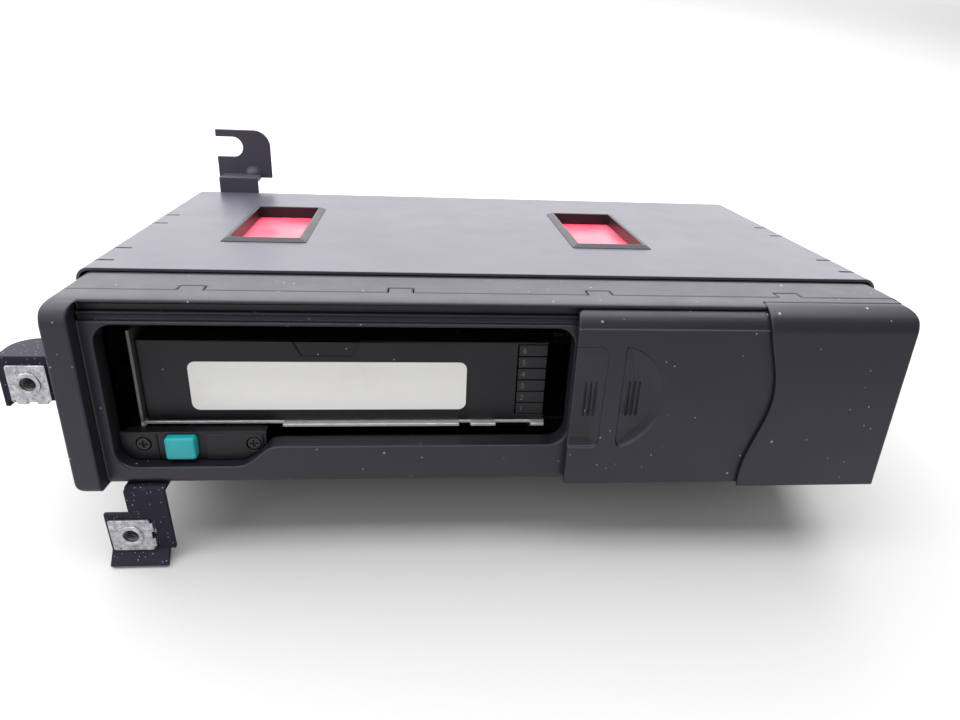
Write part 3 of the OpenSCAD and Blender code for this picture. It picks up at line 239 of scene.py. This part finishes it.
def grainPlastic(f, s, body, normal=None):
    edge = f.ramp(f.edges(0.45), 0.05, 0.4)
    # edge wear and painted highlight: rounded edges are lightened partly as wear, partly as if catching
    # light
    wearAndHighlight = edge * f.ramp(f.noise(4, 4), 0.4, 0.66)
    body = f.mix(wearAndHighlight * 0.75, body, colour(*s["wornAndHighlight"]))
    dust = f.specks(3, 0.26, s["dust"] * 1.6)
    lint = f.specks(6, 0.46, s["dust"] * 1.4)
    body = f.mix((dust + lint) * 0.6, body, colour(172, 170, 174))
    f.put("Base Color", body)
    smear = f.ramp(f.noise(16, 5, 0.65), 0.3, 0.75)
    f.put("Roughness", s["rough"] + smear * 0.1)
    f.bump(f.noise(s["grain"], 2), 0.6, s["depth"], normal or f.soft(s["soft"]))
    f.shader.inputs["Specular IOR Level"].default_value = s["shine"]
    makeTint(f, coolTint)


def driftOf(f, s):
    drift = f.ramp(f.noise(38, 4), 0.35, 0.7)
    return f.mix(drift, colour(*[c * 0.86 for c in s["base"]]), colour(*s["base"]))


def makePlastic(name, s):
    f = Finish(name)
    grainPlastic(f, s, driftOf(f, s))
    return f.mat


# a painted highlight runs along the door's fold where the curve runs out, and painted shade darkens the
# finger dish
doorFoldHighlight = {"height": 55.4, "half": 0.35, "pale": (92, 90, 101)}
fingerDish = {"left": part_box("door_outer")[0][0], "radius": 18.4, "middle": (11.0, 32.0),
              "ridge": (10.0, 15.5), "low": 14.6, "top": 49.4, "slope": 3.5, "deep": 1.3, "paintedShade": (3, 3, 4)}


def dishOf(f, s):
    # 0 on the door's face, rising to 1 inside the two lobes beside the ridge
    x = (f.along("X") - s["left"]) * (1 / mm)
    z = f.height() * (1 / mm)
    across, up = x - s["middle"][0], z - s["middle"][1]
    disc = s["radius"] - (across * across + up * up) ** 0.5
    flat = (s["ridge"][0] - x) & (z - s["low"]) & (s["top"] - z)
    lobe = disc & (x - s["ridge"][1]) & (z - s["low"])
    fade = f.ramp((s["top"] - z) * (1 / (s["top"] - s["low"])), 0.05, 0.8)
    return f.ramp((flat | lobe) * (1 / s["slope"]), 0.0, 1.0) * fade


def makeDoorPlastic(s, fold, dish):
    f = Finish("doorPlastic")
    height = f.height()
    # painted highlight: a pale band along the fold where the nose curve runs out
    far = f.add("ShaderNodeMath", {"operation": "ABSOLUTE"}, {0: height - fold["height"] * mm})
    foldHighlight = 1 - f.ramp(far * (1 / (fold["half"] * mm)), 0.2, 1.0)
    body = f.mix(foldHighlight * 0.6, driftOf(f, s), colour(*fold["pale"]))
    sunk = dishOf(f, dish)
    # painted shade: the dish's lobes take a near-black colour for the shade in the hollow
    body = f.mix(sunk, body, colour(*dish["paintedShade"]))
    grainPlastic(f, s, body, f.raised(1 - sunk, 1.0, dish["deep"], f.soft(0.35)))
    return f.mat


# the magazine's finger recess gets painted shade, a darker colour than its front
fingerRecessShade = {"front": 17.35, "deep": (13, 12, 14)}


def makeMagazinePlastic(s, recess):
    f = Finish("magazinePlastic")
    inside = (f.depth() > at(0, recess["front"], 0).y) * (f.depth() < at(0, recess["front"] + 2.5, 0).y)
    # painted shade: a band just behind the front is darkened where the recess falls into shade
    grainPlastic(f, s, f.mix(inside * 0.75, driftOf(f, s), colour(*recess["deep"])))
    return f.mat


paintedSteel = {
    "coverPaint": {"base": (64, 62, 74), "rough": 0.34, "shine": 0.5, "peel": 2.2, "depth": 0.006,
                   "chips": 0.014, "pitch": 2.6},
    "bracketPaint": {"base": (38, 36, 48), "rough": 0.5, "shine": 0.1, "peel": 1.6, "depth": 0.012,
                     "chips": 0.42, "pitch": 1.1},
    # the hook's paint is a lighter copy of the bracket paint, painted light for the light it catches higher
    # up
    "litHookPaint": {"base": (60, 57, 68), "rough": 0.5, "shine": 0.3, "peel": 1.6, "depth": 0.012,
                  "chips": 0.105, "pitch": 2.6},
}


def makePaint(name, s):
    f = Finish(name)
    drift = f.ramp(f.noise(70, 3), 0.3, 0.7)
    body = f.mix(drift, colour(*[c * 0.95 for c in s["base"]]), colour(*s["base"]))
    bare = f.ramp(f.edges(0.4), 0.08, 0.45) * f.ramp(f.noise(3, 4), 0.52, 0.64)
    body = f.mix(bare, body, colour(150, 150, 156))
    chip = f.specks(s["pitch"], 0.2, s["chips"])
    body = f.mix(chip * 0.6, body, colour(164, 162, 172))
    f.put("Base Color", body)
    rub = f.ramp(f.noise(26, 4, 0.6), 0.35, 0.75)
    f.put("Roughness", s["rough"] + rub * 0.05)
    f.bump(f.noise(s["peel"], 2), 0.3, s["depth"])
    f.shader.inputs["Specular IOR Level"].default_value = s["shine"]
    makeTint(f, coolTint)
    return f.mat


zincSteel = {
    "zinc": {"base": (206, 206, 212), "dull": (150, 149, 152), "rough": 0.36},
    "plainSteel": {"base": (160, 160, 164), "dull": (120, 120, 122), "rough": 0.36},
}


def makeZinc(name, s):
    f = Finish(name, Metallic=1.0)
    cloud = f.ramp(f.noise(1.6, 5, 0.7), 0.36, 0.66)
    body = f.mix(cloud, colour(*s["dull"]), colour(*s["base"]))
    pit = f.specks(1.3, 0.26, 0.35)
    f.put("Base Color", f.mix(pit * 0.75, body, colour(72, 66, 60)))
    f.put("Roughness", s["rough"] + (1 - cloud) * 0.18)
    f.bump(f.noise(0.7, 3), 0.5, 0.03)
    return f.mat


# bright lips under the magazine; the sheet above them takes painted shade for the shade of the mouth
cradleSheet = {"bright": (236, 236, 232), "paintedMouthShade": (104, 100, 98), "lip": 17.2}


def makeCradle(s):
    f = Finish("cradleSheet", Metallic=0.6)
    lip = f.ramp((s["lip"] * mm - f.height()) * (1 / mm) + 0.5, 0.0, 1.0)
    cloud = f.ramp(f.noise(3, 4), 0.35, 0.7)
    # painted shade: above the lip height the sheet takes the darker colour
    body = f.mix(lip, colour(*s["paintedMouthShade"]), colour(*s["bright"]))
    f.put("Base Color", f.mix(cloud * 0.25, body, colour(120, 118, 114)))
    f.put("Roughness", 0.38 + cloud * 0.12)
    f.bump(f.noise(0.9, 3), 0.3, 0.015)
    return f.mat


plainParts = {
    "teal": {"base": (32, 164, 170), "rough": 0.36, "grain": 0.5, "depth": 0.006, "spread": 0.93},
    "gearWhite": {"base": (226, 225, 218), "rough": 0.45, "grain": 0.5, "depth": 0.005, "spread": 0.95},
    "rubber": {"base": (24, 24, 24), "rough": 0.75, "grain": 0.4, "depth": 0.02, "spread": 0.8},
    "blackScrew": {"base": (22, 21, 24), "rough": 0.3, "grain": 0.6, "depth": 0.01, "spread": 0.8},
    "tabInk": {"base": (112, 104, 98), "rough": 0.5, "grain": 0.4, "depth": 0.004, "spread": 0.85},
}


def makePlain(name, s):
    f = Finish(name)
    f.put("Base Color", f.mix(f.ramp(f.noise(5, 4), 0.3, 0.7),
                              colour(*[c * s["spread"] for c in s["base"]]), colour(*s["base"])))
    f.put("Roughness", s["rough"] + f.noise(7, 4) * 0.1)
    f.bump(f.noise(s["grain"], 2), 0.5, s["depth"])
    return f.mat


redGloss = {"base": (234, 52, 78), "pale": (246, 96, 120), "rough": 0.3}


def makeRed(s):
    f = Finish("redGloss")
    f.put("Base Color", f.mix(f.ramp(f.noise(18, 2), 0.3, 0.75), colour(*s["base"]), colour(*s["pale"])))
    f.put("Roughness", s["rough"] + f.ramp(f.noise(6, 4), 0.4, 0.8) * 0.08)
    f.bump(f.noise(9, 2), 0.1, 0.03)
    return f.mat


labelPaper = {"base": (240, 239, 236), "stain": (222, 218, 209), "rough": 0.5}


def makeLabel(s):
    f = Finish("labelPaper")
    stain = f.ramp(f.noise(14, 5, 0.65), 0.55, 0.8)
    body = f.mix(stain * 0.4, colour(*s["base"]), colour(*s["stain"]))
    scuff = f.ramp(f.noise(1.5, 3, 0.6, f.stretched(1, 1, 0.16)), 0.72, 0.78)
    body = f.mix(scuff * 0.25, body, colour(170, 165, 156))
    f.put("Base Color", f.mix(f.specks(9, 0.34, 0.2) * 0.7, body, colour(110, 102, 92)))
    f.put("Roughness", s["rough"] + stain * 0.15)
    f.bump(f.noise(0.25, 2), 0.3, 0.006)
    return f.mat


# green lacquer below, black chips on it and bright cans above them
boardLacquer = {"base": (26, 82, 46), "track": (40, 112, 62), "rough": 0.32, "top": 7.65, "chips": 9.9}


def makeBoard(s):
    f = Finish("boardLacquer")
    lines = f.add("ShaderNodeTexWave", {"wave_type": "BANDS", "bands_direction": "DIAGONAL"}, {
        "Vector": f.place, "Scale": 110.0, "Distortion": 6.0, "Detail": 0.0}, "Fac")
    body = f.mix(f.ramp(lines, 0.45, 0.55), colour(*s["base"]), colour(*s["track"]))
    body = f.mix(f.height() > s["top"] * mm, body, colour(28, 28, 30))
    can = f.height() > s["chips"] * mm
    f.put("Base Color", f.mix(can, body, colour(178, 180, 184)))
    f.put("Metallic", can * 0.9)
    f.put("Roughness", s["rough"] + f.noise(8, 3) * 0.1)
    f.bump(lines, 0.2, 0.02)
    return f.mat


def makeBrass():
    f = Finish("turnedBrass", Metallic=1.0)
    turn = f.add("ShaderNodeTexWave", {"wave_type": "BANDS", "bands_direction": "X"}, {
        "Vector": f.place, "Scale": 330.0, "Distortion": 0.0}, "Fac")
    f.put("Base Color", f.mix(f.noise(4, 3), colour(190, 150, 80), colour(226, 190, 112)))
    f.put("Roughness", 0.26 + turn * 0.12)
    f.bump(turn, 0.8, 0.25)
    return f.mat


def makeLens():
    f = Finish("lensGlass", Transmission_Weight=0.85, IOR=1.5)
    f.put("Base Color", f.mix(f.noise(2, 2), colour(190, 212, 226), colour(220, 232, 240)))
    f.put("Roughness", 0.03 + f.noise(3, 3) * 0.05)
    return f.mat


finish = {name: makePlastic(name, s) for name, s in grainedPlastic.items()}
finish.update({name: makePaint(name, s) for name, s in paintedSteel.items()})
finish.update({name: makeZinc(name, s) for name, s in zincSteel.items()})
finish.update({name: makePlain(name, s) for name, s in plainParts.items()})
finish["door"] = makeDoorPlastic(grainedPlastic["charcoal"], doorFoldHighlight, fingerDish)
finish["magazine"] = makeMagazinePlastic(grainedPlastic["black"], fingerRecessShade)
finish["cradle"] = makeCradle(cradleSheet)
finish["red"] = makeRed(redGloss)
finish["label"] = makeLabel(labelPaper)
finish["board"] = makeBoard(boardLacquer)
finish["brass"] = makeBrass()
finish["lens"] = makeLens()
print("finishes:", len(finish))

# which finish each drawn node takes
wearing = {
    "charcoal": ["front_bezel", "front_frame", "end_fascia", "door_inner"],
    "door": ["door_outer"],
    "black": ["eject_panel", "turntable", "clamper", "rear_socket",
              "window_frame_left", "window_frame_right"],
    "magazine": ["magazine_shell"],
    "tray": ["tray_1", "tray_2", "tray_3", "tray_4", "tray_5", "tray_6", "pickup_sled"],
    "coverPaint": ["chassis_pan", "top_cover"],
    "bracketPaint": ["left_bracket", "leg_bracket"],
    "litHookPaint": ["rear_hook"],
    "zinc": ["left_clip_nut", "leg_clip_nut"],
    "cradle": ["magazine_cradle"],
    "plainSteel": ["magazine_latch", "mech_plate", "guide_posts", "lift_deck", "spindle_motor", "sled_rods",
                   "feed_motor", "clamp_carriage", "lift_slide", "lift_motor"],
    "blackScrew": ["eject_screws", "bracket_screws", "cover_screws"],
    "teal": ["eject_button"],
    "red": ["window_pan_left", "window_pan_right"],
    "label": ["magazine_label"],
    "rubber": ["dampers"],
    "board": ["main_board"],
    "gearWhite": ["lift_pinion"],
    "brass": ["lead_screw"],
    "lens": ["pickup_lens"],
}
finishOf = {node: name for name, nodes in wearing.items() for node in nodes}
bodyOf = {node: body for body, nodes in frame["record"]["behaviour"]["bodies"].items() for node in nodes}


def dress(obj, name):
    obj.data.materials.clear()
    obj.data.materials.append(finish[name])


def only(obj):
    bpy.ops.object.select_all(action="DESELECT")
    obj.select_set(True)
    bpy.context.view_layer.objects.active = obj


def edit(obj):
    only(obj)
    bpy.ops.object.mode_set(mode="EDIT")
    bpy.ops.mesh.select_all(action="SELECT")


def done():
    bpy.ops.object.mode_set(mode="OBJECT")


for node, name in finishOf.items():
    dress(bpy.data.objects[node], name)

# moulded and folded edges: each visible node is copied, merged and given its edge radius
edgeRadius = {
    0.45: ["front_bezel"],
    0.4: ["front_frame", "door_outer"],
    0.35: ["end_fascia", "window_frame_left", "window_frame_right"],
    0.3: ["magazine_shell", "left_bracket", "leg_bracket", "rear_hook"],
    0.2: ["door_inner", "bracket_screws", "cover_screws", "chassis_pan", "rear_socket"],
    0.15: ["eject_panel", "window_pan_left", "window_pan_right", "left_clip_nut", "leg_clip_nut",
           "magazine_cradle", "eject_screws", "tray_1", "tray_2", "tray_3", "tray_4", "tray_5", "tray_6",
           "top_cover"],
    0.1: ["turntable", "clamper", "pickup_sled", "magazine_latch", "mech_plate", "guide_posts", "lift_deck",
          "spindle_motor", "sled_rods", "feed_motor", "clamp_carriage", "lift_slide", "lift_motor",
          "dampers", "main_board", "lift_pinion", "lead_screw"],
}


def copyOf(node, name):
    piece = bpy.data.objects.new(name, bpy.data.objects[node].data.copy())
    bpy.context.scene.collection.objects.link(piece)
    edit(piece)
    bpy.ops.mesh.remove_doubles(threshold=0.004 * mm)
    bpy.ops.mesh.dissolve_limited(angle_limit=math.radians(1.0))
    bpy.ops.mesh.select_all(action="SELECT")
    bpy.ops.mesh.dissolve_degenerate(threshold=0.06 * mm)
    done()
    return piece


def fasten(piece, node, look):
    dress(piece, look)
    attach(piece, bodyOf[node])


def rounded(node, radius):
    piece = copyOf(node, node + "_rounded")
    bpy.ops.object.shade_smooth_by_angle(angle=math.radians(32))
    bevel = piece.modifiers.new("edge", "BEVEL")
    bevel.width = radius * mm
    bevel.segments = 2
    bevel.limit_method = "ANGLE"
    bevel.angle_limit = math.radians(32)
    bevel.use_clamp_overlap = False
    bevel.loop_slide = False
    bevel.miter_outer = "MITER_ARC"
    # crowded corners are kept inside the drawn solid
    keep = piece.modifiers.new("keep", "SHRINKWRAP")
    keep.target = bpy.data.objects[node]
    keep.wrap_mode = "INSIDE"
    flat = piece.modifiers.new("flat", "WEIGHTED_NORMAL")
    flat.keep_sharp = True
    for name in ("edge", "keep", "flat"):
        bpy.ops.object.modifier_apply(modifier=name)
    fasten(piece, node, finishOf[node])
    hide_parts(node)


for radius, nodes in edgeRadius.items():
    for node in nodes:
        rounded(node, radius)
print("edges rounded:", sum(len(nodes) for nodes in edgeRadius.values()))

# eject button: a soft edge all round its face
buttonEdge = {"radius": 0.9, "steps": 4, "front": 7.4}


def makeButton(s):
    piece = copyOf("eject_button", "eject_button_soft")
    front = at(0, s["front"], 0).y
    mesh = piece.data
    for group in (mesh.vertices, mesh.edges, mesh.polygons):
        group.foreach_set("select", [False] * len(group))
    for face in mesh.polygons:
        face.select = face.normal.y < -0.99 and abs(face.center.y - front) < 0.05 * mm
    bpy.ops.object.mode_set(mode="EDIT")
    bpy.ops.mesh.select_mode(type="FACE")
    bpy.ops.mesh.region_to_loop()
    bpy.ops.mesh.bevel(offset=s["radius"] * mm, segments=s["steps"], affect="EDGES")
    bpy.ops.mesh.select_mode(type="VERT")
    done()
    bpy.ops.object.shade_smooth_by_angle(angle=math.radians(32))
    fasten(piece, "eject_button", "teal")
    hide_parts("eject_button")


makeButton(buttonEdge)

# tray numbers: small raised figures at the left of each tab
figures = {"size": 2.7, "rise": 0.06, "x": 8.4, "front": 17.15, "first": 18.75, "pitch": 4.2, "lift": 0.95}


def makeFigure(number, s):
    bpy.ops.object.select_all(action="DESELECT")
    bpy.ops.object.text_add(rotation=(math.radians(90), 0, 0))
    piece = bpy.context.object
    piece.name = "tab_figure_" + str(number)
    piece.data.body = str(number)
    piece.data.size = s["size"] * mm
    piece.data.extrude = s["rise"] * mm
    piece.data.resolution_u = 6
    bpy.ops.object.convert(target="MESH")
    piece.location = at(s["x"], s["front"], s["first"] + (number - 1) * s["pitch"] + s["lift"])
    bpy.ops.object.transform_apply(location=True, rotation=True, scale=True)
    fasten(piece, "tray_" + str(number), "tabInk")


for number in range(1, 7):
    makeFigure(number, figures)
print("tray figures set")

# threads: one turned ridge, copied into each clip nut
thread = {"bore": 2.5, "deep": 0.42, "pitch": 1.0, "turns": 6, "from": -0.4}
legTilt = math.radians(5)
nutPlaces = {
    "left_clip_nut": {"hole": at(-151, 26, 25.5), "tilt": 0.0},
    "leg_clip_nut": {"hole": at(-118, 3 + 16.9 * math.sin(legTilt), -1.8 - 16.9 * math.cos(legTilt)),
                     "tilt": legTilt},
}


def makeThread(s):
    bpy.ops.object.select_all(action="DESELECT")
    bpy.ops.mesh.primitive_circle_add(vertices=3, radius=s["deep"] * mm, rotation=(math.radians(90), 0, 0))
    ridge = bpy.context.object
    ridge.location = (s["bore"] * mm, 0, 0)
    bpy.ops.object.transform_apply(location=True, rotation=True, scale=True)
    turn = ridge.modifiers.new("turn", "SCREW")
    turn.axis = "Z"
    turn.screw_offset = s["pitch"] * mm
    turn.iterations = s["turns"]
    turn.steps = turn.render_steps = 28
    turn.use_smooth_shade = False
    bpy.ops.object.modifier_apply(modifier="turn")
    edit(ridge)
    bpy.ops.mesh.remove_doubles(threshold=0.002 * mm)
    bpy.ops.mesh.normals_make_consistent(inside=False)
    done()
    return ridge


def cutThreads(s):
    ridge = makeThread(s)
    for node, place in nutPlaces.items():
        piece = bpy.data.objects.new(node + "_thread", ridge.data.copy())
        bpy.context.scene.collection.objects.link(piece)
        # the ridge runs along z, and the nut's bore along the plate's normal
        piece.rotation_euler = (math.radians(-90) + place["tilt"], 0, 0)
        piece.location = place["hole"]
        only(piece)
        bpy.ops.object.transform_apply(location=True, rotation=True, scale=True)
        fasten(piece, node, "plainSteel")
    bpy.data.objects.remove(ridge)


cutThreads(thread)
print("threads cut")

# rear socket: brass pins with turned tips
socketPins = {"middle": (97.8, 30.0), "ring": 4.0, "radius": 0.62, "from": 154.6, "to": 159.6, "tip": 0.35}


def makePins(s):
    x, z = s["middle"]
    for index, angle in enumerate(range(-120, 121, 40)):
        turn = math.radians(angle)
        bpy.ops.object.select_all(action="DESELECT")
        bpy.ops.mesh.primitive_cylinder_add(vertices=16, radius=s["radius"] * mm,
                                            depth=(s["to"] - s["from"]) * mm,
                                            rotation=(math.radians(90), 0, 0))
        piece = bpy.context.object
        piece.name = "socket_pin_" + str(index + 1)
        piece.location = at(x + s["ring"] * math.sin(turn), (s["from"] + s["to"]) / 2,
                            z + s["ring"] * math.cos(turn))
        bpy.ops.object.transform_apply(location=True, rotation=True, scale=True)
        tip = piece.modifiers.new("tip", "BEVEL")
        tip.width = s["tip"] * mm
        tip.segments = 3
        bpy.ops.object.modifier_apply(modifier="tip")
        bpy.ops.object.shade_smooth_by_angle(angle=math.radians(32))
        fasten(piece, "rear_socket", "brass")


makePins(socketPins)
print("socket pins set")

# floor and light
studio = {
    "lean": math.degrees(math.atan2(30.2, 156.8)),  # from the rear edge down to the leg's toe
    "sky": 0.3,
    "paper": (181, 184),
    "lamps": {
        "behind": {"power": 46.0, "size": (5.4, 1.1), "place": (0.0, 1.9, 1.0), "aim": (0.0, 0, 0.05)},
        "overhead": {"power": 53.0, "size": (2.4, 1.6), "place": (-0.45, 0.2, 1.0), "aim": (-0.45, 0.2, 0)},
        "front": {"power": 3.5, "size": (1.6, 0.8), "place": (-0.4, -1.0, 0.55), "aim": (0, 0, 0.03)},
        "left": {"power": 4.0, "size": (0.9, 0.9), "place": (-1.0, -0.45, 0.45), "aim": (0, 0, 0.03)},
    },
}


def makeLamp(name, s):
    lamp = bpy.data.lights.new(name, "AREA")
    lamp.energy = s["power"]
    lamp.shape = "RECTANGLE"
    lamp.size, lamp.size_y = s["size"]
    obj = bpy.data.objects.new(name, lamp)
    bpy.context.scene.collection.objects.link(obj)
    obj.location = s["place"]
    obj.rotation_euler = (Vector(s["aim"]) - Vector(s["place"])).to_track_quat("-Z", "Y").to_euler()


def makeStudio(s):
    bpy.ops.object.select_all(action="DESELECT")
    bpy.ops.mesh.primitive_plane_add(size=12)
    floor = bpy.context.object
    floor.name = "floor"
    hinge = at(0, 159.5, 0)
    floor.matrix_world = Matrix.Translation(hinge) @ Matrix.Rotation(math.radians(s["lean"]), 4, "X")
    f = Finish("floorPaper")
    f.put("Base Color", f.mix(f.noise(240, 2), *[colour(shade, shade, shade) for shade in s["paper"]]))
    f.put("Roughness", 0.7 + f.noise(90, 2) * 0.1)
    floor.data.materials.append(f.mat)
    world = bpy.data.worlds.new("studio")
    bpy.context.scene.world = world
    world.use_nodes = True
    sky = world.node_tree.nodes["Background"]
    sky.inputs["Color"].default_value = (1, 1, 1, 1)
    sky.inputs["Strength"].default_value = s["sky"]
    for name, lamp in s["lamps"].items():
        makeLamp(name, lamp)


makeStudio(studio)
bpy.context.scene.view_settings.view_transform = "Standard"
print("studio lit")
